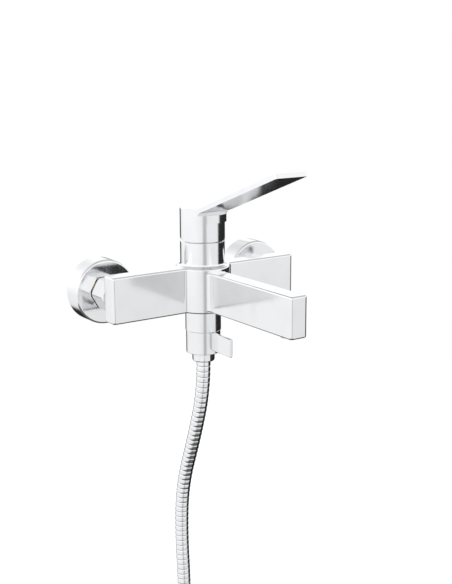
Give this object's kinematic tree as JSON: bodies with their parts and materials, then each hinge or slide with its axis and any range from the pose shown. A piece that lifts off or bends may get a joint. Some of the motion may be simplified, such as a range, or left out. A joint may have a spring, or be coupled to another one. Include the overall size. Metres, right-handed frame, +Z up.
{
  "type": "wall mounted bath faucet",
  "caption": "Chromed wall mounted bath faucet: flat bar body, lever mixing cartridge, fixed flat spout, rotary diverter with thumb tab and a coiled metal shower hose.",
  "frame": {"origin": "on the finished wall, midway between the two wall connections", "axes": "+X along the bar to the right seen from the front, +Y into the wall, +Z up"},
  "size_m": [0.2705, 0.22, 0.6634],
  "materials": {
    "chrome": "polished chrome plate over brass",
    "raw_brass": "turned brass",
    "hose_chrome": "interlocked chromed steel strip",
    "stainless": "drawn stainless steel",
    "ceramic": null,
    "cartridge_plastic": "moulded acetal",
    "seal_rubber": "moulded rubber",
    "tie_plastic": "nylon strap"
  },
  "bodies": {
    "faucet": {"faucet_body": "chrome", "rosette_left": "chrome", "rosette_right": "chrome", "union_nut_left": "chrome", "union_nut_right": "chrome", "cover_dome": "chrome", "diverter_collar": "chrome", "hose_nut": "chrome", "hose_end_nut": "chrome", "aerator_housing": "chrome", "s_union_left": "raw_brass", "s_union_right": "raw_brass", "inlet_connector_left": "raw_brass", "inlet_connector_right": "raw_brass", "cartridge_nut": "raw_brass", "outlet_nipple": "raw_brass", "hose_ferrule": "raw_brass", "hose_end_ferrule": "raw_brass", "hose_tube": "hose_chrome", "hose_coil": "hose_chrome", "hose_tail": "hose_chrome", "inlet_filter_left": "stainless", "inlet_filter_right": "stainless", "diverter_clip": "stainless", "fixed_disc": "ceramic", "diverter_fixed_disc": "ceramic", "cartridge_housing": "cartridge_plastic", "cartridge_base": "cartridge_plastic", "aerator_insert": "cartridge_plastic", "cartridge_seals": "seal_rubber", "diverter_seals": "seal_rubber", "aerator_seal": "seal_rubber", "inlet_washer_left": "seal_rubber", "inlet_washer_right": "seal_rubber", "hose_washer": "seal_rubber", "hose_end_washer": "seal_rubber", "coil_ties": "tie_plastic"},
    "turner": {"cartridge_turner": "cartridge_plastic", "pivot_pin": "stainless"},
    "lever": {"handle": "chrome", "control_stem": "stainless", "handle_screw": "stainless", "screw_plug": "chrome"},
    "disc": {"moving_disc": "ceramic", "disc_carrier": "cartridge_plastic"},
    "diverter": {"diverter_turning_disc": "ceramic", "diverter_rotor": "raw_brass", "diverter_sleeve": "chrome", "diverter_screw": "stainless"}
  },
  "joints": [
    {"name": "handle_swivel", "type": "hinge", "parent": "faucet", "child": "turner", "pos_m": [0, -0.054, 0.05], "axis": [0, 0, 1], "range_deg": [-45, 45]},
    {"name": "handle_lift", "type": "hinge", "parent": "turner", "child": "lever", "pos_m": [0, -0.054, 0.05], "axis": [-1, 0, 0], "range_deg": [0, 20]},
    {"name": "disc_slide", "type": "slide", "parent": "turner", "child": "disc", "axis": [0, -1, 0], "range_m": [0, 0.0057]},
    {"name": "diverter_turn", "type": "hinge", "parent": "faucet", "child": "diverter", "pos_m": [0, -0.054, -0.05], "axis": [0, 0, 1], "range_deg": [0, 90]}
  ],
  "couplings": [
    {"joint": "disc_slide", "follows": "handle_lift", "m_per_rad": 0.01568}
  ]
}
